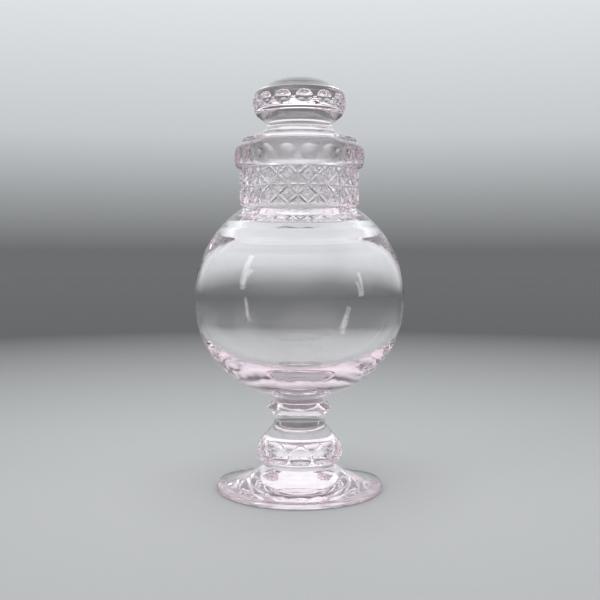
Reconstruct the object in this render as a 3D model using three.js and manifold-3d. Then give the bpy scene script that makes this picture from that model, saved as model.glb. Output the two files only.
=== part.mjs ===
// A footed glass apothecary jar with a ground stopper.
// Millimetres, +Z up. The origin is the middle of the ring that the foot stands on.
// Everything is turned round the Z axis. Angles run from the front (-Y) towards +X.
import * as THREE from "three";
import { mergeVertices } from "three/addons/utils/BufferGeometryUtils.js";
import Module from "manifold-3d";

const wasm = await Module();
wasm.setup();

// ---- Driving dimensions -------------------------------------------------------------------

const GAP = 0.3; // between pieces that touch

// Bowl: a blown globe under a moulded collar.
const GLOBE_R = 67;
const GLOBE_Z = 123.6; // height of the globe's widest line
const GLOBE_DEPTH = 65.6; // from the widest line down to where the bottom would close
const GLOBE_FULLNESS = 2.2; // exponent of the lower half, 2 being an ellipse
const BOWL_BOTTOM_Z = 60.2; // flat that the wafer was stuck to
const WALL = 3.2;
const INNER_DEPTH = 53.5; // the bottom is much thicker than the wall
const INNER_FULLNESS = 2.8;

// Collar: two rows of cut diamonds under a rim band with thumbprints.
const COLLAR_REPEATS = 19;
const COLLAR_PHASE = 8.3; // degrees from the front to the first diamond
const DIAMOND_BOTTOM_Z = 181;
const DIAMOND_MIDDLE_Z = 192.5;
const DIAMOND_TOP_Z = 204.2;
const CREASE_R = 36.1; // where the globe runs in under the collar
const GROOVE_R = 36.7;
const DIAMOND_R = 38.2; // at the points of the diamonds
const SMALL_POINT_R = 37.7; // at the points of the small triangles between them
const SMALL_POINT = { across: 0.35, up: 0.28 }; // where they are, in pitches and half heights
const RIM_BAND_R = 41.7;
const RIM_TOP_R = 36.2; // where the rounded band meets the flat rim
const RIM_Z = 221;
const RIM_PRINT = { z: 211.8, height: 11.5, width: 11, depth: 1.7 };

// Ground joint: a short tapered plug in a tapered bore.
const BORE_TOP_R = 30.2;
const BORE_BOTTOM_R = 29.2;
const GROUND_BOTTOM_Z = 203.4;
const NECK_INNER_R = 29.6; // below the ground part of the bore
const NECK_BOTTOM_Z = 177.6;
const SHOULDER_R = 49.5; // inside: the glass thickens from here up to the neck
const SHOULDER_MIDDLE_Z = 171.7;
const SHOULDER_BULGE = 0.9; // how far the middle of that stretch stands out of a straight cone
const PLUG_BOTTOM_Z = 205;
const PLUG_WALL = 3.4;
const PLUG_CEILING_Z = 224.5; // top of the hollow inside the stopper

// Stopper.
const FLANGE_R = 36.5;
const STOPPER_NECK_R = 20.7;
const STOPPER_JOIN_Z = 232.2;
const KNOB_R = 29.9;
const KNOB_REPEATS = 14;
const KNOB_PHASE = 5.8;
const KNOB_EDGE = { r: 23, z: 255.6 }; // rim of the domed top
const TOP_Z = 262;
const KNOB_PRINT = { z: 246, height: 8.6, width: 11.5, depth: 1.5 };

// Pedestal: wafer, stem with a sharp ring and a faceted knop, and a spread foot.
const WAFER_R = 17.4;
const WAFER_BOTTOM_Z = 56.3;
const RING_R = 21.3;
const RING_Z = 52.5;
const RING_EDGE = 0.2; // half the flat on the sharp ring
const NECK_R = 16.5; // narrowest part of the stem
const NECK_Z = 41.4;
const KNOP_R = 28.3; // at the ridges between its twelve panels
const KNOP_PANEL_R = 27; // at the middle of a panel
const KNOP_REPEATS = 12;
const KNOP_PHASE = 1.5;
const KNOP_PRINT = { z: 27, height: 13, width: 13.2, depth: 1 };
const STEM_BOTTOM_Z = 14.9;
const FOOT_R = 54;
const FOOT_REST = { inner: 46, outer: 51.6 }; // radii of the flat ring it stands on
const FOOT_HOLLOW = 2.4; // height of the shallow hollow under the foot

// Columns of faces round each piece. A piece with a pattern has a few for each repeat.
const COLLAR_COLUMNS = COLLAR_REPEATS * 4;
const KNOB_COLUMNS = KNOB_REPEATS * 4;
const KNOP_COLUMNS = KNOP_REPEATS * 4;
const PLAIN_COLUMNS = 54;
const GLOBE_STEPS = { lower: 11, upper: 8 }; // rows of faces on each half, outside
const CAVITY_STEPS = { lower: 10, upper: 6 }; // and inside
const DOME_STEPS = 5;
const CORNER_STEPS = 2; // straight pieces in each rounded corner of an outline

// ---- Shape helpers ------------------------------------------------------------------------

// A closed turned body. relief(angle, r, z) gives the radius of each point, where it is not r.
function turned(profile, columns, relief = null) {
  const points = profile.map(([r, z]) => new THREE.Vector2(r, z));
  const geometry = new THREE.LatheGeometry(points, columns);
  geometry.rotateX(Math.PI / 2);
  if (relief) reshape(geometry.getAttribute("position"), relief);
  return merged(geometry);
}

function reshape(position, relief) {
  for (let i = 0; i < position.count; i++) {
    const [x, y, z] = [position.getX(i), position.getY(i), position.getZ(i)];
    const r = Math.hypot(x, y);
    if (r < 1e-6) continue;
    const scale = relief(Math.atan2(x, -y), r, z) / r;
    position.setXYZ(i, x * scale, y * scale, z);
  }
}

// The geometry with shared vertices and without the faces that collapse on the axis.
function merged(geometry) {
  geometry.deleteAttribute("normal");
  geometry.deleteAttribute("uv");
  const whole = mergeVertices(geometry, 1e-4);
  const kept = [];
  const index = whole.index.array;
  for (let i = 0; i < index.length; i += 3) {
    const [a, b, c] = [index[i], index[i + 1], index[i + 2]];
    if (a !== b && b !== c && a !== c) kept.push(a, b, c);
  }
  whole.setIndex(kept);
  return whole;
}

function solid(geometry) {
  return new wasm.Manifold(
    new wasm.Mesh({
      numProp: 3,
      vertProperties: geometry.getAttribute("position").array,
      triVerts: new Uint32Array(geometry.index.array),
    }),
  );
}

function geometryOf(body) {
  const mesh = body.getMesh();
  const geometry = new THREE.BufferGeometry();
  geometry.setAttribute("position", new THREE.BufferAttribute(mesh.vertProperties, 3));
  geometry.setIndex(new THREE.BufferAttribute(mesh.triVerts, 1));
  return geometry;
}

// An outline through [r, z] corners. A third number rounds that corner off with a curve that
// starts and ends that far from it.
function rounded(corners) {
  const path = [];
  corners.forEach(([r, z, reach = 0], i) => {
    const corner = new THREE.Vector2(r, z);
    if (reach === 0) {
      path.push([r, z]);
      return;
    }
    const [start, end] = [corners[i - 1], corners[i + 1]].map(([nextR, nextZ]) => {
      const way = new THREE.Vector2(nextR, nextZ).sub(corner);
      return corner.clone().addScaledVector(way, Math.min(reach / way.length(), 0.5));
    });
    const curve = new THREE.QuadraticBezierCurve(start, corner, end);
    curve.getPoints(CORNER_STEPS).forEach((point) => path.push([point.x, point.y]));
  });
  return path;
}

// Points on a circular arc in the (r, z) plane, angles in degrees from +r towards +z.
function arc(r0, z0, radius, from, to, steps) {
  const points = [];
  for (let i = 0; i <= steps; i++) {
    const a = THREE.MathUtils.degToRad(from + ((to - from) * i) / steps);
    points.push([r0 + radius * Math.cos(a), z0 + radius * Math.sin(a)]);
  }
  return points;
}

// The lower half of the globe or of its cavity, from height z up to the widest line.
function lowerGlobe(radius, depth, fullness, z, steps) {
  const points = [];
  const lowest = Math.asin(Math.min(1, (GLOBE_Z - z) / depth));
  for (let i = 0; i <= steps; i++) {
    const drop = Math.sin(lowest * (1 - i / steps));
    points.push([radius * Math.sqrt(1 - drop ** fullness), GLOBE_Z - depth * drop]);
  }
  return points;
}

// How far from the middle of the nearest repeat an angle is, in radians.
function offset(angle, repeats) {
  const pitch = (2 * Math.PI) / repeats;
  return angle - pitch * Math.round(angle / pitch);
}

// A row of thumbprints: oval dents round a body.
function dented(print, repeats) {
  return (angle, r, z) => {
    const across = (2 * r * offset(angle, repeats)) / print.width;
    const up = (2 * (z - print.z)) / print.height;
    return r - print.depth * Math.max(0, 1 - across * across - up * up);
  };
}

const mesh = (name, geometry, material) => {
  const made = new THREE.Mesh(geometry, material);
  made.name = name;
  return made;
};

const glass = () =>
  new THREE.MeshPhysicalMaterial({
    color: 0xf3eaf0,
    roughness: 0.04,
    metalness: 0,
    transmission: 1,
    ior: 1.5,
  });

// ---- Bowl ---------------------------------------------------------------------------------

function globe() {
  const lower = lowerGlobe(GLOBE_R, GLOBE_DEPTH, GLOBE_FULLNESS, BOWL_BOTTOM_Z, GLOBE_STEPS.lower);
  const neckAngle = THREE.MathUtils.radToDeg(Math.acos(CREASE_R / GLOBE_R));
  const upper = arc(0, GLOBE_Z, GLOBE_R, 0, neckAngle, GLOBE_STEPS.upper).slice(1);
  const top = upper.at(-1);
  return [[0, BOWL_BOTTOM_Z], ...lower, ...upper, [top[0], DIAMOND_TOP_Z], [0, DIAMOND_TOP_Z]];
}

// The drum with two rows of diamonds. Each diamond is a low pyramid, and each corner between
// diamonds is filled by small three-sided points.
function diamondDrum() {
  const vertices = [];
  const faces = [];
  const pitch = (2 * Math.PI) / COLLAR_REPEATS;
  const point = (column, z, r) => {
    const a = column * pitch;
    return vertices.push(r * Math.sin(a), -r * Math.cos(a), z) / 3 - 1;
  };
  const raised = (a, b, c, peak) => faces.push(a, b, peak, b, c, peak, c, a, peak);
  const rows = [
    [DIAMOND_BOTTOM_Z, DIAMOND_MIDDLE_Z],
    [DIAMOND_MIDDLE_Z, DIAMOND_TOP_Z],
  ];
  for (const [low, high] of rows) {
    const middle = (low + high) / 2;
    for (let k = 0; k < COLLAR_REPEATS; k++) {
      const [bottom, top] = [point(k, low, GROOVE_R), point(k, high, GROOVE_R)];
      const [left, right] = [-0.5, 0.5].map((c) => point(k + c, middle, GROOVE_R));
      const peak = point(k, middle, DIAMOND_R);
      faces.push(bottom, right, peak, right, top, peak, top, left, peak, left, bottom, peak);
      for (const side of [-1, 1]) {
        for (const [edge, corner] of [[low, bottom], [high, top]]) {
          const foot = point(k + side / 2, edge, GROOVE_R);
          const tip = point(k + side / 2, middle, GROOVE_R);
          const smallZ = edge + (middle - edge) * SMALL_POINT.up;
          const small = point(k + side * SMALL_POINT.across, smallZ, SMALL_POINT_R);
          const upright = (side > 0) === (edge === low);
          if (upright) raised(corner, foot, tip, small);
          else raised(foot, corner, tip, small);
        }
      }
    }
  }
  for (const [z, up] of [[DIAMOND_BOTTOM_Z, false], [DIAMOND_TOP_Z, true]]) {
    const middle = point(0, z, 0);
    for (let k = 0; k < COLLAR_REPEATS * 2; k++) {
      const [a, b] = [point(k / 2, z, GROOVE_R), point((k + 1) / 2, z, GROOVE_R)];
      faces.push(...(up ? [a, b, middle] : [b, a, middle]));
    }
  }
  const geometry = new THREE.BufferGeometry();
  geometry.setAttribute("position", new THREE.Float32BufferAttribute(vertices, 3));
  geometry.setIndex(faces);
  return merged(geometry);
}

function rimBand() {
  const bottom = DIAMOND_TOP_Z - 0.5; // sunk into the drum, so that the two join
  const profile = rounded([
    [0, bottom],
    [GROOVE_R - 0.3, bottom],
    [GROOVE_R + 0.7, DIAMOND_TOP_Z + 0.2],
    [40.6, DIAMOND_TOP_Z + 3, 2],
    [RIM_BAND_R + 0.2, DIAMOND_TOP_Z + 8.2, 3],
    [40.6, RIM_Z - 3.2, 2.5],
    [RIM_TOP_R, RIM_Z],
    [0, RIM_Z],
  ]);
  return turned(profile, COLLAR_COLUMNS, dented(RIM_PRINT, COLLAR_REPEATS));
}

function cavity() {
  const innerR = GLOBE_R - WALL;
  const floorZ = GLOBE_Z - INNER_DEPTH;
  const lower = lowerGlobe(innerR, INNER_DEPTH, INNER_FULLNESS, floorZ, CAVITY_STEPS.lower);
  const shoulderAngle = THREE.MathUtils.radToDeg(Math.acos(SHOULDER_R / innerR));
  const upper = arc(0, GLOBE_Z, innerR, 0, shoulderAngle, CAVITY_STEPS.upper).slice(1);
  const aboveRim = RIM_Z + 1;
  const neck = [
    [(SHOULDER_R + NECK_INNER_R) / 2 + SHOULDER_BULGE, SHOULDER_MIDDLE_Z],
    [NECK_INNER_R, NECK_BOTTOM_Z],
    [NECK_INNER_R, GROUND_BOTTOM_Z - 1],
    [BORE_BOTTOM_R, GROUND_BOTTOM_Z],
    [BORE_TOP_R, RIM_Z],
    [BORE_TOP_R, aboveRim],
    [0, aboveRim],
  ];
  return turned([...lower, ...upper, ...neck], PLAIN_COLUMNS);
}

function bowl() {
  const body = solid(turned(globe(), PLAIN_COLUMNS))
    .add(solid(diamondDrum()))
    .add(solid(rimBand()))
    .subtract(solid(cavity()));
  const geometry = geometryOf(body);
  geometry.rotateZ(THREE.MathUtils.degToRad(COLLAR_PHASE));
  return geometry;
}

// ---- Pedestal -----------------------------------------------------------------------------

function wafer() {
  const top = BOWL_BOTTOM_Z - GAP;
  const profile = [
    [0, WAFER_BOTTOM_Z],
    [WAFER_R - 0.3, WAFER_BOTTOM_Z],
    [WAFER_R, WAFER_BOTTOM_Z + 0.3],
    [WAFER_R, top - 0.5],
    [WAFER_R - 0.5, top],
    [0, top],
  ];
  return turned(profile, PLAIN_COLUMNS);
}

// The round knop is cut back to a flat panel under each print, which leaves a ridge between them.
function panelled(angle, r) {
  return Math.min(r, KNOP_PANEL_R / Math.cos(offset(angle, KNOP_REPEATS)));
}

function stem() {
  const top = WAFER_BOTTOM_Z - GAP;
  const profile = rounded([
    [0, STEM_BOTTOM_Z],
    [22.6, STEM_BOTTOM_Z],
    [24.6, 16],
    [27.6, 18.9, 2],
    [KNOP_R + 0.1, 24, 2.4],
    [27.5, 28.6, 2.2],
    [NECK_R, NECK_Z],
    [NECK_R + 0.1, NECK_Z + 3.6],
    [NECK_R + 0.7, NECK_Z + 6.9],
    [RING_R, RING_Z - RING_EDGE],
    [RING_R, RING_Z + RING_EDGE],
    [WAFER_R - 0.1, top],
    [0, top],
  ]);
  const prints = dented(KNOP_PRINT, KNOP_REPEATS);
  const relief = (angle, r, z) => prints(angle, panelled(angle, r), z);
  const geometry = turned(profile, KNOP_COLUMNS, relief);
  geometry.rotateZ(THREE.MathUtils.degToRad(KNOP_PHASE));
  return geometry;
}

function foot() {
  const top = STEM_BOTTOM_Z - GAP;
  const profile = rounded([
    [0, FOOT_HOLLOW],
    [FOOT_REST.inner - 14, FOOT_HOLLOW * 0.75],
    [FOOT_REST.inner, 0],
    [FOOT_REST.outer, 0],
    [FOOT_R - 0.7, 0.5],
    [FOOT_R, 1.5],
    [FOOT_R - 0.6, 2.8],
    [50.6, 3.8],
    [40, 6.7],
    [30.5, 9.7, 4],
    [24, 13.6, 1.5],
    [23.4, top],
    [0, top],
  ]);
  return turned(profile, PLAIN_COLUMNS);
}

// ---- Stopper ------------------------------------------------------------------------------

// Radius of the plug's ground face at height z: the bore's taper less the gap.
function plugRadius(z) {
  const share = (z - GROUND_BOTTOM_Z) / (RIM_Z - GROUND_BOTTOM_Z);
  return BORE_BOTTOM_R + share * (BORE_TOP_R - BORE_BOTTOM_R) - GAP;
}

function stopperCap() {
  const seat = RIM_Z + GAP;
  const outer = plugRadius(PLUG_BOTTOM_Z);
  const inner = outer - PLUG_WALL;
  const profile = rounded([
    [0, PLUG_CEILING_Z],
    [inner - 5, PLUG_CEILING_Z - 0.8],
    [inner, PLUG_CEILING_Z - 5, 2.5],
    [inner, PLUG_BOTTOM_Z + 0.8],
    [inner + 0.8, PLUG_BOTTOM_Z],
    [outer - 0.6, PLUG_BOTTOM_Z],
    [outer, PLUG_BOTTOM_Z + 0.6],
    [plugRadius(seat), seat],
    [FLANGE_R - 0.4, seat],
    [FLANGE_R, seat + 0.5],
    [FLANGE_R - 0.7, seat + 1.6],
    [32.2, 224.5],
    [22, 228.8, 3],
    [STOPPER_NECK_R, STOPPER_JOIN_Z - 1],
    [STOPPER_NECK_R, STOPPER_JOIN_Z],
    [0, STOPPER_JOIN_Z],
  ]);
  return turned(profile, PLAIN_COLUMNS);
}

function stopperKnob() {
  const { r, z } = KNOB_EDGE;
  const rise = TOP_Z - z;
  const domeR = (r * r + rise * rise) / (2 * rise);
  const domeEdge = THREE.MathUtils.radToDeg(Math.acos(r / domeR));
  const dome = arc(0, TOP_Z - domeR, domeR, domeEdge, 90, DOME_STEPS);
  dome.at(-1)[0] = 0;
  const profile = rounded([
    [0, STOPPER_JOIN_Z + GAP],
    [STOPPER_NECK_R - 0.2, STOPPER_JOIN_Z + GAP],
    [STOPPER_NECK_R + 0.2, STOPPER_JOIN_Z + 1.3],
    [27.6, 238.6, 2.5],
    [KNOB_R + 0.3, 245.4, 3.2],
    [28.4, 252.4, 2.4],
    ...dome,
  ]);
  const geometry = turned(profile, KNOB_COLUMNS, dented(KNOB_PRINT, KNOB_REPEATS));
  geometry.rotateZ(THREE.MathUtils.degToRad(KNOB_PHASE));
  return geometry;
}

// ---- Assembly -----------------------------------------------------------------------------

const jar = new THREE.Group();
jar.add(mesh("bowl", bowl(), glass()));
jar.add(mesh("wafer", wafer(), glass()));
jar.add(mesh("stem", stem(), glass()));
jar.add(mesh("foot", foot(), glass()));

const stopper = new THREE.Group();
stopper.add(mesh("stopper_cap", stopperCap(), glass()));
stopper.add(mesh("stopper_knob", stopperKnob(), glass()));

const apothecaryJar = new THREE.Group();
apothecaryJar.add(jar, stopper);

export default apothecaryJar;
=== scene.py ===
"""A footed glass apothecary jar: its detailed glass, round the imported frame.

The shapes are worked out in millimetres and scaled to metres as each piece is made. Z is up.
Every piece is turned round the Z axis, and angles run from the front (-Y) towards +X.
"""
import math

import bpy
import numpy as np
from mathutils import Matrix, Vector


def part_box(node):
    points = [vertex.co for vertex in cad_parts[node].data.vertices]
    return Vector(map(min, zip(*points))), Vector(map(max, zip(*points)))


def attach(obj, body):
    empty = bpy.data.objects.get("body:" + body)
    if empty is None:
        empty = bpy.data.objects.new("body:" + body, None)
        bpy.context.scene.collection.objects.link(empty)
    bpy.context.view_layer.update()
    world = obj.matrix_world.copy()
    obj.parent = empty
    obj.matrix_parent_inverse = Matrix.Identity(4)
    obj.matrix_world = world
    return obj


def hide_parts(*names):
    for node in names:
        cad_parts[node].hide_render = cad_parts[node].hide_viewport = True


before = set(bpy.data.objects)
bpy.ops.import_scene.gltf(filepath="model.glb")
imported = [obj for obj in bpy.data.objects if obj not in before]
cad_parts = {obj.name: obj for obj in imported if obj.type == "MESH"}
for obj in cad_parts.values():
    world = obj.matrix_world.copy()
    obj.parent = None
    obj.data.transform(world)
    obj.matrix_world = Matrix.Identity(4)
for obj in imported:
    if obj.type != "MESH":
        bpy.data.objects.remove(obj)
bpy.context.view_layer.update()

MM = 0.001


def node_box(node):
    """Lowest and highest corners of a node, in millimetres."""
    low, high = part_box(node)
    return [v / MM for v in low], [v / MM for v in high]


# ---- Dimensions, in millimetres -----------------------------------------------------------

BOWL_LOW, BOWL_HIGH = node_box("bowl")
WAFER_LOW, WAFER_HIGH = node_box("wafer")
STEM_LOW, _ = node_box("stem")
_, FOOT_HIGH = node_box("foot")
CAP_LOW, CAP_HIGH = node_box("stopper_cap")
KNOB_LOW, KNOB_HIGH = node_box("stopper_knob")

GLOBE_R = BOWL_HIGH[0]
GLOBE_Z = 123.6  # its widest line
GLOBE_DEPTH, GLOBE_FULLNESS = 65.6, 2.2  # below that line; a fullness of 2 is an ellipse
WALL = 3.2
INNER_DEPTH, INNER_FULLNESS = 53.5, 2.8
INNER_LOWEST_R = 0.5  # where the cavity's curve gives way to a point on the axis
RIM_Z = BOWL_HIGH[2]

COLLAR_REPEATS, COLLAR_PHASE = 19, math.radians(8.3)
DIAMOND_ROWS = ((181.0, 192.5), (192.5, 204.2))
COLLAR_LOW_Z, COLLAR_HIGH_Z = DIAMOND_ROWS[0][0], DIAMOND_ROWS[-1][1]
GROOVE_R = 36.7
CREASE_R = GROOVE_R - 0.7  # where the collar meets the globe
# A diamond's heights, as shares of its rise, so many cells out from its middle: a small pyramid,
# a sunk terrace and a bevel. A triangle's are so many cells in from its grooves.
DIAMOND_RISE, TRIANGLE_RISE = 1.5, 1.05
DIAMOND_STEPS, DIAMOND_HEIGHTS = (0, 3, 4, 7, 8, 12), (1, 0.74, 0.64, 0.64, 0.84, 0)
TRIANGLE_STEPS, TRIANGLE_HEIGHTS = (0, 1, 1.75), (0, 0.85, 1)
TRIANGLE_BEVEL = (2, 3)  # its width in cells, from a straight groove and from a diagonal one
RIM_BAND_R = 41.7
RIM_TOP_R = 35.4

BORE_TOP_R, BORE_BOTTOM_R = 30.2, 29.2
GROUND_BOTTOM_Z = 203.4
NECK_INNER_R, NECK_BOTTOM_Z = 29.6, 175.3
SHOULDER_ANGLE = math.radians(34.5)  # above the widest line, where the cavity leaves its curve
SHOULDER_THICKENING = 3.0  # of the wall, up to there
SHOULDER_MIDDLE_R, SHOULDER_MIDDLE_Z = 41.0, 168.1

# Waves round the cavity's wall: each one's share, its count round the jar, the angle that it
# starts at and how fast it turns with height
SWELLS = (
    (0.40, 3, 0.9, 0.021),
    (0.25, 7, 2.3, -0.067),
    (0.20, 2, 4.1, 0.213),
    (0.15, 12, 1.7, 0.151),
)
SWELL_SIZE = 0.12
STREAKS = ((0.6, 17, 1.1, 0), (0.4, 29, 0.4, 0))  # ribs that the gather left low in the cavity
STREAK_SIZE, STREAK_Z, STREAK_SPREAD = 0.14, 80.0, 14.0
CALM_R, CALM_HEIGHT = 25, 20  # the waves fade out over these, to the axis and to the neck

PLUG_BOTTOM_Z = CAP_LOW[2]
PLUG_WALL = 3.4
PLUG_GAP = 0.3
HOLLOW_TOP_Z = 224.5
FLANGE_R = CAP_HIGH[0]
STOPPER_NECK_R = 20.7

KNOB_R = 29.9
KNOB_REPEATS, KNOB_PHASE = 14, math.radians(5.8)
TOP_Z = KNOB_HIGH[2]

WAFER_R = WAFER_HIGH[0]
GLOBE_FOOT_R = WAFER_R + 0.8  # where the globe's curve starts
STEM_TOP_R, STEM_FOOT_R = WAFER_R - 0.5, 21.5
RING_R, RING_Z = 21.3, 52.5
KNOP_R = 28.3
KNOP_REPEATS, KNOP_PHASE = 12, math.radians(1.5)
KNOP_PANEL = ((27.9, 20.2), (26.5, 22.0, 4), (26.1, 29.5, 8), (22.2, 36.0))  # up its middle line
KNOP_PANEL_HOLLOW = 22.0  # radius of the hollow across it
FOOT_R = FOOT_HIGH[0]
REST_INNER_R, REST_OUTER_R = 46.0, 51.6
FOOT_HOLLOW = 2.4

# Heights of the fused joints, in the CAD's gaps between the pieces. The lower piece's face is
# there, and the upper one's is a hair above it.
FUSED_GAP = 0.04
JOINT_DROP = 0.1
BOWL_JOINT_Z = BOWL_LOW[2] - JOINT_DROP
STEM_JOINT_Z = WAFER_LOW[2] - JOINT_DROP
FOOT_JOINT_Z = STEM_LOW[2] - JOINT_DROP
KNOB_JOINT_Z = KNOB_LOW[2] - JOINT_DROP
EDGE_OUT, EDGE_AWAY = 0.1, 0.02  # from the edge of a fused face to where the piece's side starts

# A thumbprint is a shallow dent: its height, the radius that its middle goes down to, its lean
# from upright, and the radii of its curve across and up.
RIM_PRINT = {"z": 211.8, "floor": RIM_BAND_R - 1.6, "lean": 0.04, "across": 13.4, "up": 15.0}
KNOB_PRINT = {"z": 246.0, "floor": KNOB_R - 1.5, "lean": -0.03, "across": 18.6, "up": 12.0}
PRINT_EDGE = 0.05  # softness of a dent's edge

# What a face's surface is like: how rough it is, or that it is fused to the next piece
POLISHED, TOOLED, GROUND, SCUFFED = 0.0, 0.17, 0.52, 0.12
FUSED = -1.0
SHARPEST_SMOOTH = math.radians(20)  # two faces that meet at more than this meet in a crease

# Faces round each piece
CELLS = 12  # in half a diamond, both ways
PRINT_COLUMNS = 36  # in each repeat of the knob's prints and the knop's panels
COLLAR_COLUMNS = COLLAR_REPEATS * CELLS * 2
BOWL_COLUMNS = COLLAR_COLUMNS // 3
KNOB_COLUMNS = KNOB_REPEATS * PRINT_COLUMNS
KNOP_COLUMNS = KNOP_REPEATS * PRINT_COLUMNS
PLAIN_COLUMNS = 180

# From one ring of faces to the next, along an outline
FLAT_STEP = 4.0  # on the fused faces
UNDER_STEP = 2.0  # in the hollow under the foot
PLAIN_STEP = 1.2
REST_STEP = 1.0
TURNED_STEP = 0.7  # on the foot's and the stopper's curves
FINE_STEP = 0.5  # on relief and on small edges
KNOB_STEP = 0.45
GLOBE_LOWER_RINGS, GLOBE_UPPER_RINGS, CAVITY_UPPER_RINGS = 46, 34, 30
ARC_STEP = math.radians(11)
STRAIGHT = 0.02  # a corner that turns less than this, in radians, isn't rounded
CORNER_SHARE = 0.48  # the most of a straight stretch that one rounded corner uses
ON_AXIS = 1e-6  # a ring smaller than this is one point


# ---- Outlines in the (r, z) plane ---------------------------------------------------------

def outline(points, step=PLAIN_STEP):
    """A path through points (r, z) or (r, z, corner radius), rounded at its corners.

    Straight stretches get a point about every step."""
    corners = [np.array(p[:2], float) for p in points]
    path = [corners[0]]
    for i in range(1, len(points) - 1):
        radius = points[i][2] if len(points[i]) > 2 else 0
        path += rounded_corner(corners[i - 1], corners[i], corners[i + 1], radius)
    path.append(corners[-1])
    dense = [path[0]]
    for a, b in zip(path, path[1:]):
        count = max(1, math.ceil(np.linalg.norm(b - a) / step))
        dense += [a + (b - a) * k / count for k in range(1, count + 1)]
    return [tuple(p) for p in dense]


def rounded_corner(before, corner, after, radius):
    """The points of an arc that rounds one corner of an outline."""
    way_in, way_out = corner - before, after - corner
    length_in, length_out = np.linalg.norm(way_in), np.linalg.norm(way_out)
    way_in, way_out = way_in / length_in, way_out / length_out
    turn = math.acos(float(np.clip(way_in @ way_out, -1, 1)))
    if radius == 0 or turn < STRAIGHT:
        return [corner]
    back = min(radius * math.tan(turn / 2), CORNER_SHARE * length_in, CORNER_SHARE * length_out)
    radius = back / math.tan(turn / 2)
    side = np.sign(way_in[0] * way_out[1] - way_in[1] * way_out[0])
    centre = corner - way_in * back + side * radius * np.array([-way_in[1], way_in[0]])
    start = corner - way_in * back - centre
    count = max(2, math.ceil(turn / ARC_STEP))
    arc = []
    for k in range(count + 1):
        a = side * turn * k / count
        across = start[0] * math.cos(a) - start[1] * math.sin(a)
        up = start[0] * math.sin(a) + start[1] * math.cos(a)
        arc.append(centre + np.array([across, up]))
    return arc


def lower_globe(radius, depth, fullness, r_from, steps):
    """The lower half of the globe or of its cavity, from radius r_from out to the widest line."""
    lowest = (1 - (r_from / radius) ** 2) ** (1 / fullness)
    path = []
    for k in range(steps + 1):
        drop = math.sin(math.asin(lowest) * (1 - k / steps))
        path.append((radius * math.sqrt(max(0.0, 1 - drop ** fullness)), GLOBE_Z - depth * drop))
    return path


def upper_globe(radius, highest, steps, thickening=0.0):
    """The upper half of the globe or of its cavity, from just over its widest line up to the
    angle highest. thickening is how much further in its last point lies than its first."""
    path = []
    for k in range(1, steps + 1):
        r, a = radius - thickening * (k / steps) ** 2, highest * k / steps
        path.append((r * math.cos(a), GLOBE_Z + r * math.sin(a)))
    return path


# ---- Relief -------------------------------------------------------------------------------

def from_middle(angle, repeats, phase):
    """How far each angle is from the middle of the nearest repeat."""
    pitch = 2 * math.pi / repeats
    turned = angle - phase
    return turned - pitch * np.round(turned / pitch)


def soft_min(a, b, softness):
    """The lower of two values, with the crease between them rounded."""
    share = np.clip(0.5 + 0.5 * (b - a) / softness, 0, 1)
    return b + share * (a - b) - softness * share * (1 - share)


def dented(angle, r, z, dent, repeats, phase):
    """Radius of a round body of radius r with a row of thumbprints cut into it."""
    across = r * np.sin(from_middle(angle, repeats, phase))
    depth = dent["floor"] + across ** 2 / (2 * dent["across"])
    depth = depth + dent["lean"] * (z - dent["z"]) + (z - dent["z"]) ** 2 / (2 * dent["up"])
    return soft_min(r, np.hypot(depth, across), PRINT_EDGE)


def diamond_rise(across, up):
    """Height of the cut pattern over one repeat, across and up each from -1 to 1.

    A bevelled diamond with a sunk terrace and a small pyramid, and a bevelled triangle in
    each corner between the grooves."""
    across, up = abs(across), abs(up)
    out = across + up
    diamond = np.interp(out, [k / CELLS for k in DIAMOND_STEPS], DIAMOND_HEIGHTS)
    straight, diagonal = TRIANGLE_BEVEL
    inwards = np.minimum(np.minimum(1 - across, 1 - up) / straight, (out - 1) / diagonal) * CELLS
    triangle = np.interp(inwards, TRIANGLE_STEPS, TRIANGLE_HEIGHTS)
    return np.where(out < 1, DIAMOND_RISE * diamond, TRIANGLE_RISE * triangle)


def waves(angle, z, parts):
    """A sum of waves round the axis, from -1 to 1, as SWELLS and STREAKS give them."""
    return sum(share * np.sin(count * angle + start + z * climb)
               for share, count, start, climb in parts)


# ---- Meshes -------------------------------------------------------------------------------

def ring_angles(count):
    """The angles of a ring's points, from the middle of a diamond on."""
    return COLLAR_PHASE + 2 * math.pi * np.arange(count) / count


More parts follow.
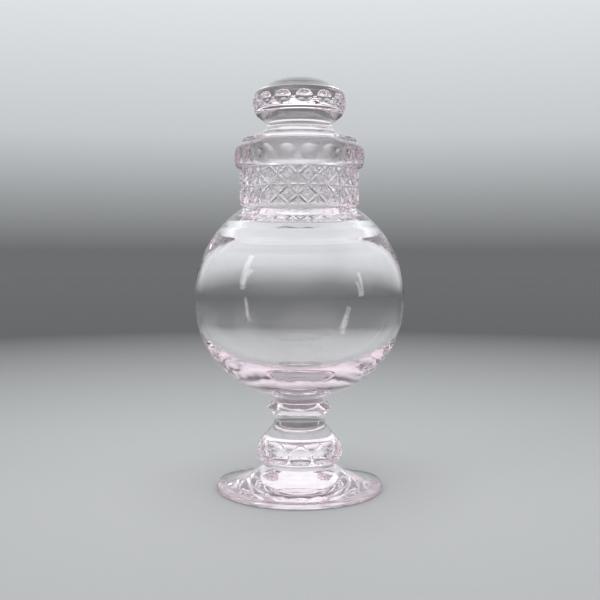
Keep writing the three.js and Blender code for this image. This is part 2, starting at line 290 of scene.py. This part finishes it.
class Skin:
    """A closed mesh built ring by ring round the Z axis, from the middle of the bottom."""

    def __init__(self):
        self.points, self.faces, self.finishes = [], [], []
        self.last = None
        self.finish = POLISHED

    def ring(self, count, r, z, relief=None):
        """Adds a ring of count points, or one point where r is 0, and joins it to the last."""
        if r < ON_AXIS:
            new = [len(self.points)]
            self.points.append((0.0, 0.0, z))
        else:
            radii = np.full(count, float(r))
            angles = ring_angles(count)
            if relief is not None:
                radii = relief(angles, r, z)
            new = list(range(len(self.points), len(self.points) + count))
            xs, ys = radii * np.sin(angles), -radii * np.cos(angles)
            self.points += list(zip(xs.tolist(), ys.tolist(), [z] * count))
        if self.last is not None:
            self.join(self.last, new)
        self.last = new

    def rings(self, count, path, relief=None):
        for r, z in path:
            self.ring(count, r, z, relief)

    def fused_face(self, count, r, z, closing=False):
        """The flat face at height z that is fused to another piece. It starts or ends the skin."""
        path = outline([(0, z), (r - EDGE_OUT, z)], FLAT_STEP)
        self.finish = FUSED
        self.rings(count, path[::-1] if closing else path)
        self.finish = POLISHED

    def join(self, a, b):
        """Faces between two rings, where one may have a multiple of the other's points."""
        steps = min(n for n in (len(a), len(b)) if n > 1)
        for k in range(steps):
            low, high = span(a, k, steps), span(b, k, steps)
            self.faces.append(tuple(low + high[::-1]))
            self.finishes.append(self.finish)

    def split_last(self, leaning_right):
        """Cuts the quads of the last two rings in two, along the way each one's crease runs."""
        count = len(self.last)
        quads = self.faces[-count:]
        del self.faces[-count:]
        for right, (a, b, c, d) in zip(leaning_right, quads):
            self.faces += [(a, b, c), (a, c, d)] if right else [(a, b, d), (b, c, d)]
        self.finishes += [self.finish] * count

    def piece(self, name, material):
        """The Blender object, with smooth faces, sharp creases and its finishes as attributes."""
        mesh = bpy.data.meshes.new(name)
        mesh.from_pydata([(x * MM, y * MM, z * MM) for x, y, z in self.points], [], self.faces)
        mesh.materials.append(material)
        rough = mesh.attributes.new("rough", "FLOAT", "FACE")
        rough.data.foreach_set("value", [max(f, 0.0) for f in self.finishes])
        fused = mesh.attributes.new("fused", "FLOAT", "FACE")
        fused.data.foreach_set("value", [float(f == FUSED) for f in self.finishes])
        mesh.polygons.foreach_set("use_smooth", [True] * len(self.faces))
        mesh.set_sharp_from_angle(angle=SHARPEST_SMOOTH)
        made = bpy.data.objects.new(name, mesh)
        bpy.context.scene.collection.objects.link(made)
        return made


def span(ring, k, steps):
    """The points of a ring from step k to the next of steps, as a list."""
    if len(ring) == 1:
        return list(ring)
    each = len(ring) // steps
    return [ring[i % len(ring)] for i in range(k * each, (k + 1) * each + 1)]


# ---- Materials ----------------------------------------------------------------------------

TINT = (0.90, 0.66, 0.77, 1)  # the pink-lavender that the glass shows where it is thick
CLEAN, MARKED, CLEAR = (0.995, 0.990, 0.993, 1), (0.975, 0.966, 0.970, 1), (1, 1, 1, 1)
GLASS_IOR, NO_BENDING = 1.5, 1.0
CLEAN_ROUGH, MARKED_ROUGH, SEED_ROUGH = 0.002, 0.03, 0.25
# Noise and spots to the metre, the noise's detail, and the part of its values that is used
MARK_SCALE, SEED_SCALE, GRIT_SCALE = 38, 70, 1400
MARK_DETAIL, GRIT_DETAIL, WAVE_DETAIL = 6, 5, 2
MARK_RANGE, GRIT_RANGE = (0.50, 0.80), (0.35, 0.65)
SEED_SIZE, SEED_EDGE = 0.035, 1.4  # a share of their spacing, and how far out the edge fades
GRIT_STRETCH = (0.4, 0.4, 1.0)  # grinding leaves its scratches running round
GRIT_UNEVENNESS = (0.75, 1.25)
GRIT_STRENGTH, GRIT_DEPTH = 1.2, 0.0003  # the depths of the bumps are in metres
WAVE_DEPTH = 0.001


class Nodes:
    """Short calls for building one material."""

    def __init__(self, name):
        self.material = bpy.data.materials.new(name)
        self.material.use_nodes = True
        self.tree = self.material.node_tree
        self.tree.nodes.clear()
        self.output = self.add("ShaderNodeOutputMaterial")
        self.place = self.add("ShaderNodeTexCoord").outputs["Object"]

    def add(self, kind, **values):
        node = self.tree.nodes.new(kind)
        for key, value in values.items():
            self.feed(node.inputs[key.replace("_", " ")], value)
        return node

    def feed(self, socket, value):
        if isinstance(value, bpy.types.NodeSocket):
            self.tree.links.new(value, socket)
        else:
            socket.default_value = value

    def attribute(self, name):
        node = self.tree.nodes.new("ShaderNodeAttribute")
        node.attribute_name = name
        return node.outputs["Fac"]

    def maths(self, operation, *values):
        node = self.tree.nodes.new("ShaderNodeMath")
        node.operation = operation
        for socket, value in zip(node.inputs, values):
            self.feed(socket, value)
        return node.outputs[0]

    def noise(self, scale, detail, stretch=(1, 1, 1)):
        """A noise value from 0 to 1, finer along an axis where stretch is more than 1."""
        mapping = self.add("ShaderNodeMapping", Vector=self.place)
        mapping.inputs["Scale"].default_value = stretch
        place = mapping.outputs[0]
        return self.add("ShaderNodeTexNoise", Vector=place, Scale=scale, Detail=detail).outputs[0]

    def specks(self, scale, size, edge):
        """1 in small spots, about one to each 1/scale metres, and 0 beyond edge times their size."""
        spots = self.add("ShaderNodeTexVoronoi", Vector=self.place, Scale=scale)
        return self.between(spots.outputs["Distance"], size, size * edge, 1, 0)

    def between(self, value, low, high, low_out, high_out):
        """value from low to high, mapped to low_out to high_out. Each out can be a socket."""
        node = self.add("ShaderNodeMapRange", Value=value)
        for i, number in enumerate((low, high, low_out, high_out), start=1):
            self.feed(node.inputs[i], number)
        return node.outputs[0]

    def blend(self, share, a, b):
        """Colour a turning to colour b as share goes from 0 to 1."""
        node = self.tree.nodes.new("ShaderNodeMix")
        node.data_type = "RGBA"
        factor, colour_a, colour_b, result = 0, 6, 7, 2  # its sockets, as several share a name
        for i, value in ((factor, share), (colour_a, a), (colour_b, b)):
            self.feed(node.inputs[i], value)
        return node.outputs[result]

    def bump(self, height, strength, distance, normal=None):
        node = self.add("ShaderNodeBump", Height=height, Strength=strength, Distance=distance)
        if normal is not None:
            self.feed(node.inputs["Normal"], normal)
        return node.outputs[0]


def glass(name, tint_density, wave_scale, wave_strength):
    """Fire-polished glass with faint waves, a film of handling marks and a few seeds.

    Faces with a rough finish are dulled by it, unevenly. Fused faces don't bend light, so two
    pieces stuck together look like one. The tint takes colour out of the light on its way
    through, so it deepens where the glass is thick. Its density and the scale of the waves are
    to the metre."""
    n = Nodes(name)
    rough, fused = n.attribute("rough"), n.attribute("fused")
    marks = n.between(n.noise(MARK_SCALE, MARK_DETAIL), *MARK_RANGE, 0, 1)
    seeds = n.specks(SEED_SCALE, SEED_SIZE, SEED_EDGE)
    grit = n.noise(GRIT_SCALE, GRIT_DETAIL, stretch=GRIT_STRETCH)
    polished = n.between(marks, 0, 1, CLEAN_ROUGH, MARKED_ROUGH)
    polished = n.between(seeds, 0, 1, polished, SEED_ROUGH)
    uneven = n.between(grit, *GRIT_RANGE, *GRIT_UNEVENNESS)
    roughness = n.maths("MULTIPLY_ADD", rough, uneven, polished)
    roughness = n.between(fused, 0, 1, roughness, 0.0)
    colour = n.blend(marks, CLEAN, MARKED)
    colour = n.blend(fused, colour, CLEAR)
    wavy = n.bump(n.noise(wave_scale, WAVE_DETAIL), wave_strength, WAVE_DEPTH)
    normal = n.bump(grit, n.maths("MULTIPLY", rough, GRIT_STRENGTH), GRIT_DEPTH, wavy)
    surface = n.add(
        "ShaderNodeBsdfPrincipled",
        Base_Color=colour,
        Roughness=roughness,
        IOR=n.between(fused, 0, 1, GLASS_IOR, NO_BENDING),
        Transmission_Weight=1.0,
        Normal=normal,
    )
    tint = n.add("ShaderNodeVolumeAbsorption", Color=TINT, Density=tint_density)
    n.feed(n.output.inputs["Surface"], surface.outputs[0])
    n.feed(n.output.inputs["Volume"], tint.outputs[0])
    return n.material


BLOWN = glass("blown_glass", tint_density=5.6, wave_scale=45, wave_strength=0.12)
PRESSED = glass("pressed_glass", tint_density=3.5, wave_scale=90, wave_strength=0.10)
FOOT_GLASS = glass("foot_glass", tint_density=6.0, wave_scale=70, wave_strength=0.10)


# ---- The jar's pieces ---------------------------------------------------------------------

def collar(skin):
    """The two rows of diamonds, as rings of cells whose diagonals follow the cuts."""
    half_pitch = math.pi / COLLAR_REPEATS
    across = from_middle(ring_angles(COLLAR_COLUMNS), COLLAR_REPEATS, COLLAR_PHASE) / half_pitch
    in_first_half = np.arange(COLLAR_COLUMNS) % (2 * CELLS) < CELLS
    for low, high in DIAMOND_ROWS:
        for k in range(2 * CELLS + 1):
            rise = diamond_rise(across, k / CELLS - 1)
            z = low + (high - low) * k / (2 * CELLS)
            skin.ring(COLLAR_COLUMNS, GROOVE_R, z, lambda angle, r, z, rise=rise: r + rise)
            if k > 0:
                skin.split_last(in_first_half == (k <= CELLS))


def rim_relief(angle, r, z):
    return dented(angle, r, z, RIM_PRINT, COLLAR_REPEATS, COLLAR_PHASE)


def inner_relief(angle, r, z):
    """The cavity's own unevenness, which fades out towards the neck and the middle."""
    fade = min(1.0, r / CALM_R) * min(1.0, (NECK_BOTTOM_Z - z) / CALM_HEIGHT)
    low = math.exp(-((z - STREAK_Z) / STREAK_SPREAD) ** 2)
    streaks = waves(angle, z, STREAKS) * STREAK_SIZE * low
    return r + (waves(angle, z, SWELLS) * SWELL_SIZE + streaks) * max(0.0, fade)


def globe_outside(skin):
    """From the joint with the wafer to the groove under the collar."""
    skin.fused_face(BOWL_COLUMNS, WAFER_R - EDGE_OUT, BOWL_JOINT_Z + FUSED_GAP)
    outer = lower_globe(GLOBE_R, GLOBE_DEPTH, GLOBE_FULLNESS, GLOBE_FOOT_R, GLOBE_LOWER_RINGS)
    outer += upper_globe(GLOBE_R, math.acos(CREASE_R / GLOBE_R), GLOBE_UPPER_RINGS)
    skin.rings(BOWL_COLUMNS, outer)
    crease_z = outer[-1][1]
    skin.rings(COLLAR_COLUMNS, outline([
        (CREASE_R, crease_z + 0.05),
        (CREASE_R + 0.4, crease_z + 0.4, 0.2),
        (GROOVE_R - 0.05, COLLAR_LOW_Z - 0.1),
    ], FINE_STEP))


def rim_band(skin):
    """The round band with its thumbprints, from the diamonds up to the flat top of the rim."""
    band = outline([
        (GROOVE_R, COLLAR_HIGH_Z),
        (GROOVE_R, COLLAR_HIGH_Z + 0.4, 0.2),
        (40.4, 205.6, 3.5),
        (RIM_BAND_R + 0.3, 212.4, 12.0),
        (40.6, 218.4, 5.0),
        (RIM_TOP_R + 0.8, RIM_Z, 0.7),
        (RIM_TOP_R, RIM_Z),
    ], FINE_STEP)
    skin.rings(COLLAR_COLUMNS, band[1:], rim_relief)


def bore(skin):
    """The satin inside of the neck, which the plug's ground taper fits."""
    skin.finish = TOOLED
    skin.rings(BOWL_COLUMNS, outline([
        (RIM_TOP_R - 0.2, RIM_Z),
        (BORE_TOP_R, RIM_Z, 0.4),
        (BORE_BOTTOM_R, GROUND_BOTTOM_Z, 0.5),
        (NECK_INNER_R, GROUND_BOTTOM_Z - 1.2, 0.5),
        (NECK_INNER_R, NECK_BOTTOM_Z),
    ]))
    skin.finish = POLISHED


def cavity(skin):
    """From the neck's lower edge along the inside of the shoulder and down to the bottom."""
    inner_r = GLOBE_R - WALL
    inner = lower_globe(inner_r, INNER_DEPTH, INNER_FULLNESS, INNER_LOWEST_R, GLOBE_LOWER_RINGS)
    inner += upper_globe(inner_r, SHOULDER_ANGLE, CAVITY_UPPER_RINGS, SHOULDER_THICKENING)
    shoulder_r, shoulder_z = inner[-1]
    skin.rings(BOWL_COLUMNS, outline([
        (NECK_INNER_R, NECK_BOTTOM_Z - 0.02),
        (NECK_INNER_R, NECK_BOTTOM_Z - 0.6, 1.5),
        (SHOULDER_MIDDLE_R, SHOULDER_MIDDLE_Z, 60),
        (shoulder_r - 0.5, shoulder_z + 0.5),
    ]))
    skin.rings(BOWL_COLUMNS, inner[::-1], inner_relief)
    skin.ring(BOWL_COLUMNS, 0, inner[0][1])


def make_bowl():
    skin = Skin()
    globe_outside(skin)
    collar(skin)
    rim_band(skin)
    bore(skin)
    cavity(skin)
    return skin.piece("jar_bowl", BLOWN)


def make_wafer():
    skin = Skin()
    low, high = STEM_JOINT_Z + FUSED_GAP, BOWL_JOINT_Z
    skin.fused_face(PLAIN_COLUMNS, STEM_TOP_R, low)
    skin.rings(PLAIN_COLUMNS, outline([
        (STEM_TOP_R, low + EDGE_AWAY),
        (WAFER_R, low + 0.5, 0.4),
        (WAFER_R, high - 0.5, 0.4),
        (WAFER_R - 0.2, high - EDGE_AWAY),
    ], FINE_STEP))
    skin.fused_face(PLAIN_COLUMNS, WAFER_R - 0.2, high, closing=True)
    return skin.piece("jar_wafer", BLOWN)


def knop_relief(angle, r, z):
    """Twelve arched panels, hollowed a little from side to side, on a round knop."""
    floor_rs, floor_zs = zip(*outline(KNOP_PANEL, FINE_STEP))
    if z < floor_zs[0]:
        return np.full(len(angle), r)
    across = r * np.sin(from_middle(angle, KNOP_REPEATS, KNOP_PHASE))
    depth = np.interp(z, floor_zs, floor_rs) + across ** 2 / (2 * KNOP_PANEL_HOLLOW)
    return soft_min(r, np.hypot(depth, across), PRINT_EDGE)


def make_stem():
    skin = Skin()
    low, high = FOOT_JOINT_Z + FUSED_GAP, STEM_JOINT_Z
    skin.fused_face(KNOP_COLUMNS, STEM_FOOT_R, low)
    skin.rings(KNOP_COLUMNS, outline([
        (STEM_FOOT_R, low + EDGE_AWAY),
        (21.7, 15.3, 0.3),
        (24.6, 16.0, 1.0),
        (27.6, 18.9, 3.0),
        (KNOP_R + 0.1, 24.0, 8.0),
        (27.5, 28.6, 3.0),
        (16.5, 41.4, 0.5),
        (16.6, 45.0, 2.0),
        (17.3, 48.2, 0.3),
        (RING_R, RING_Z, 0.25),
        (STEM_TOP_R, high - EDGE_AWAY),
    ], FINE_STEP), knop_relief)
    skin.fused_face(KNOP_COLUMNS, STEM_TOP_R, high, closing=True)
    return skin.piece("jar_stem", PRESSED)


def make_foot():
    """The foot, with a shallow hollow under it and a scuffed flat ring that it rests on."""
    skin = Skin()
    high = FOOT_JOINT_Z
    skin.rings(PLAIN_COLUMNS, outline([
        (0, FOOT_HOLLOW),
        (30, 1.8, 60),
        (REST_INNER_R, 0.02, 1.5),
    ], UNDER_STEP))
    skin.finish = SCUFFED
    skin.rings(PLAIN_COLUMNS, outline([(REST_INNER_R + 0.3, 0), (REST_OUTER_R, 0)], REST_STEP))
    skin.finish = POLISHED
    skin.rings(PLAIN_COLUMNS, outline([
        (REST_OUTER_R + 0.1, 0.02),
        (FOOT_R - 0.5, 0.25, 0.7),
        (FOOT_R, 1.6, 1.2),
        (FOOT_R - 0.9, 3.1, 1.0),
        (50.6, 3.8, 4),
        (40, 6.7, 30),
        (31, 9.6, 12),
        (25.0, 12.9, 5),
        (22.2, 14.5, 0.8),
        (STEM_FOOT_R, high - EDGE_AWAY),
    ], TURNED_STEP))
    skin.fused_face(PLAIN_COLUMNS, STEM_FOOT_R, high, closing=True)
    return skin.piece("jar_foot", FOOT_GLASS)


# ---- The stopper's pieces -----------------------------------------------------------------

def plug_radius(z):
    """Radius of the ground taper at height z."""
    share = (z - GROUND_BOTTOM_Z) / (RIM_Z - GROUND_BOTTOM_Z)
    return BORE_BOTTOM_R + share * (BORE_TOP_R - BORE_BOTTOM_R) - PLUG_GAP


def make_cap():
    """The domed flange over the hollow plug, from the middle of the hollow outwards."""
    skin = Skin()
    seat = RIM_Z + PLUG_GAP
    outer, seat_r = plug_radius(PLUG_BOTTOM_Z), plug_radius(seat)
    inner = outer - PLUG_WALL
    skin.rings(PLAIN_COLUMNS, outline([
        (0, HOLLOW_TOP_Z),
        (inner - 5, HOLLOW_TOP_Z - 0.8, 8),
        (inner, HOLLOW_TOP_Z - 5, 3),
        (inner, PLUG_BOTTOM_Z + 0.1, 0.8),
        (inner + 1, PLUG_BOTTOM_Z),
        (outer - 0.9, PLUG_BOTTOM_Z),
    ]))
    skin.finish = GROUND
    skin.rings(PLAIN_COLUMNS, outline([
        (outer - 0.7, PLUG_BOTTOM_Z + 0.02),
        (outer, PLUG_BOTTOM_Z + 0.6, 0.4),
        (seat_r, seat - 0.05),
    ]))
    skin.finish = POLISHED
    neck_r = STOPPER_NECK_R - EDGE_OUT
    skin.rings(PLAIN_COLUMNS, outline([
        (seat_r + 0.2, seat),
        (FLANGE_R, seat, 0.6),
        (FLANGE_R - 0.4, 223.3, 0.9),
        (32.2, 224.6, 6),
        (27.6, 226.5, 10),
        (24.3, 227.9, 8),
        (21.6, 229.6, 3),
        (neck_r, KNOB_JOINT_Z - EDGE_AWAY),
    ], TURNED_STEP))
    skin.fused_face(PLAIN_COLUMNS, neck_r, KNOB_JOINT_Z, closing=True)
    return skin.piece("stopper_lid", PRESSED)


def knob_relief(angle, r, z):
    return dented(angle, r, z, KNOB_PRINT, KNOB_REPEATS, KNOB_PHASE)


def make_knob():
    skin = Skin()
    low = KNOB_JOINT_Z + FUSED_GAP
    neck_r = STOPPER_NECK_R - EDGE_OUT
    skin.fused_face(KNOB_COLUMNS, neck_r, low)
    skin.rings(KNOB_COLUMNS, outline([
        (neck_r, low + EDGE_AWAY),
        (20.8, 233.4, 0.5),
        (27.6, 238.6, 4),
        (KNOB_R + 0.1, 245.4, 9),
        (28.4, 252.4, 5),
        (23.0, 255.6, 0.6),
        (14.5, TOP_Z - 1.2, 30),
        (0, TOP_Z),
    ], KNOB_STEP), knob_relief)
    return skin.piece("stopper_knob_glass", PRESSED)


# Each piece's function, the CAD node that it replaces, its body and its material slot
PIECES = (
    (make_bowl, "bowl", "jar", "jar_glass"),
    (make_wafer, "wafer", "jar", "jar_glass"),
    (make_stem, "stem", "jar", "stem_glass"),
    (make_foot, "foot", "jar", "foot_glass"),
    (make_cap, "stopper_cap", "stopper", "stopper_glass"),
    (make_knob, "stopper_knob", "stopper", "stopper_glass"),
)

for make, node, body, slot in PIECES:
    piece = make()
    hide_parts(node)
    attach(piece, body)


# ---- Stage, light and camera --------------------------------------------------------------

# Lengths in this section are in metres.
FLOOR_R, FLOOR_SIDES = 6.0, 96
FLOOR_Z = -0.0003  # just clear of the foot, so that the two surfaces don't coincide
# The floor's grey is painted shade: pale near the jar, darkening with distance to a dark grey at the
# horizon
FLOOR_GREY, FLOOR_FAR_PAINTED_SHADE = 0.44, 0.04
FLOOR_PAINTED_SHADE_FADE = (0.12, 1.1)  # from the jar, over which the floor darkens
FLOOR_ROUGH = 0.7
# Sine of the elevation, and how bright the sky is there
SKY = ((0.0, 0.16), (0.06, 0.35), (0.13, 0.60), (0.25, 0.76), (0.50, 1.10))
SKY_TINT = (0.94, 0.975, 1.0)
SKY_PATCHES = (
    {"azimuth": -20, "elevation": 48, "width": 54, "strength": 0.7},
    {"azimuth": 75, "elevation": 25, "width": 24, "strength": 0.5},
)
SOFTBOXES = (
    {"name": "softbox_left", "place": (-1.2, -0.6, 0.75), "size": (0.16, 0.7), "watts": 1.4},
    {"name": "softbox_right", "place": (1.3, -0.5, 0.4), "size": (0.10, 0.5), "watts": 0.6},
)
LIGHT_BOUNCES = 48  # light is reflected many times inside the walls
CAMERA = {"side": 0.0004, "distance": 0.5565, "height": 0.1533, "pitch": 3.3}
CAMERA_LENS, CAMERA_SENSOR = 52.0, 36  # millimetres


def make_floor():
    """A plain floor, pale round the jar, with painted shade that darkens it towards the horizon."""
    turns = [2 * math.pi * k / FLOOR_SIDES for k in range(FLOOR_SIDES)]
    points = [(FLOOR_R * math.cos(a), FLOOR_R * math.sin(a), FLOOR_Z) for a in turns]
    mesh = bpy.data.meshes.new("floor")
    mesh.from_pydata(points, [], [tuple(range(FLOOR_SIDES))])
    mesh.materials.append(floor_material())
    floor = bpy.data.objects.new("floor", mesh)
    bpy.context.scene.collection.objects.link(floor)


def floor_material():
    n = Nodes("floor")
    distance = n.add("ShaderNodeVectorMath", Vector=n.place)
    distance.operation = "LENGTH"
    # painted shade: the floor's colour darkens with distance from the jar
    shade = n.between(distance.outputs["Value"], *FLOOR_PAINTED_SHADE_FADE, 0, 1)
    near, far = (FLOOR_GREY,) * 3 + (1,), (FLOOR_FAR_PAINTED_SHADE,) * 3 + (1,)
    colour = n.blend(shade, near, far)
    shader = n.add("ShaderNodeBsdfPrincipled", Base_Color=colour, Roughness=FLOOR_ROUGH)
    n.feed(n.output.inputs["Surface"], shader.outputs[0])
    return n.material


def make_sky():
    """Soft light from all round: a dark grey horizon, a pale sky and two broad bright patches."""
    world = bpy.data.worlds.new("studio")
    bpy.context.scene.world = world
    world.use_nodes = True
    tree = world.node_tree
    place = tree.nodes.new("ShaderNodeTexCoord").outputs["Generated"]
    split = tree.nodes.new("ShaderNodeSeparateXYZ")
    tree.links.new(place, split.inputs[0])
    sky = tree.nodes.new("ShaderNodeValToRGB")
    tree.links.new(split.outputs["Z"], sky.inputs[0])
    stops = sky.color_ramp.elements
    for i, (height, grey) in enumerate(SKY):
        stop = stops[i] if i < 2 else stops.new(height)  # a new ramp has two stops already
        stop.position = height
        stop.color = tuple(grey * tint for tint in SKY_TINT) + (1,)
    shade = sky.outputs[0]
    for patch in SKY_PATCHES:
        shade = add_patch(tree, place, shade, **patch)
    tree.links.new(shade, tree.nodes["Background"].inputs["Color"])


def add_patch(tree, place, shade, azimuth, elevation, width, strength):
    """Adds to a sky a round patch of light that fades out at width degrees from its middle."""
    a, e = math.radians(azimuth), math.radians(elevation)
    towards = (math.sin(a) * math.cos(e), -math.cos(a) * math.cos(e), math.sin(e))
    dot = tree.nodes.new("ShaderNodeVectorMath")
    dot.operation = "DOT_PRODUCT"
    tree.links.new(place, dot.inputs[0])
    dot.inputs[1].default_value = towards
    fade = tree.nodes.new("ShaderNodeMapRange")
    fade.interpolation_type = "SMOOTHERSTEP"
    tree.links.new(dot.outputs["Value"], fade.inputs[0])
    for i, number in enumerate((math.cos(math.radians(width)), 1, 0, strength), start=1):
        fade.inputs[i].default_value = number
    total = tree.nodes.new("ShaderNodeVectorMath")
    tree.links.new(shade, total.inputs[0])
    tree.links.new(fade.outputs[0], total.inputs[1])
    return total.outputs[0]


def make_softbox(name, place, size, watts):
    """An area light that faces the middle of the globe."""
    light = bpy.data.lights.new(name, "AREA")
    light.shape = "RECTANGLE"
    light.size, light.size_y = size
    light.energy = watts
    lamp = bpy.data.objects.new(name, light)
    bpy.context.scene.collection.objects.link(lamp)
    lamp.location = place
    lamp.rotation_euler = look_along(np.array([0, 0, GLOBE_Z * MM]) - np.array(place))


def look_along(aim):
    """The turn that points an object's -Z along aim, with its Y axis up."""
    flat = math.hypot(aim[0], aim[1])
    return (math.atan2(flat, -aim[2]), 0, math.atan2(-aim[0], aim[1]))


def make_camera():
    """A camera at the photo's viewing angle, a little above the middle of the jar."""
    data = bpy.data.cameras.new("camera")
    data.sensor_width = CAMERA_SENSOR
    data.lens = CAMERA_LENS
    camera = bpy.data.objects.new("camera", data)
    bpy.context.scene.collection.objects.link(camera)
    camera.location = (CAMERA["side"], -CAMERA["distance"], CAMERA["height"])
    camera.rotation_euler = (math.radians(90 - CAMERA["pitch"]), 0, 0)
    bpy.context.scene.camera = camera


make_floor()
make_sky()
for softbox in SOFTBOXES:
    make_softbox(**softbox)
make_camera()

cycles = bpy.context.scene.cycles
for kind in ("max_bounces", "transmission_bounces", "glossy_bounces", "transparent_max_bounces"):
    setattr(cycles, kind, LIGHT_BOUNCES)
bpy.context.scene.view_settings.view_transform = "Standard"
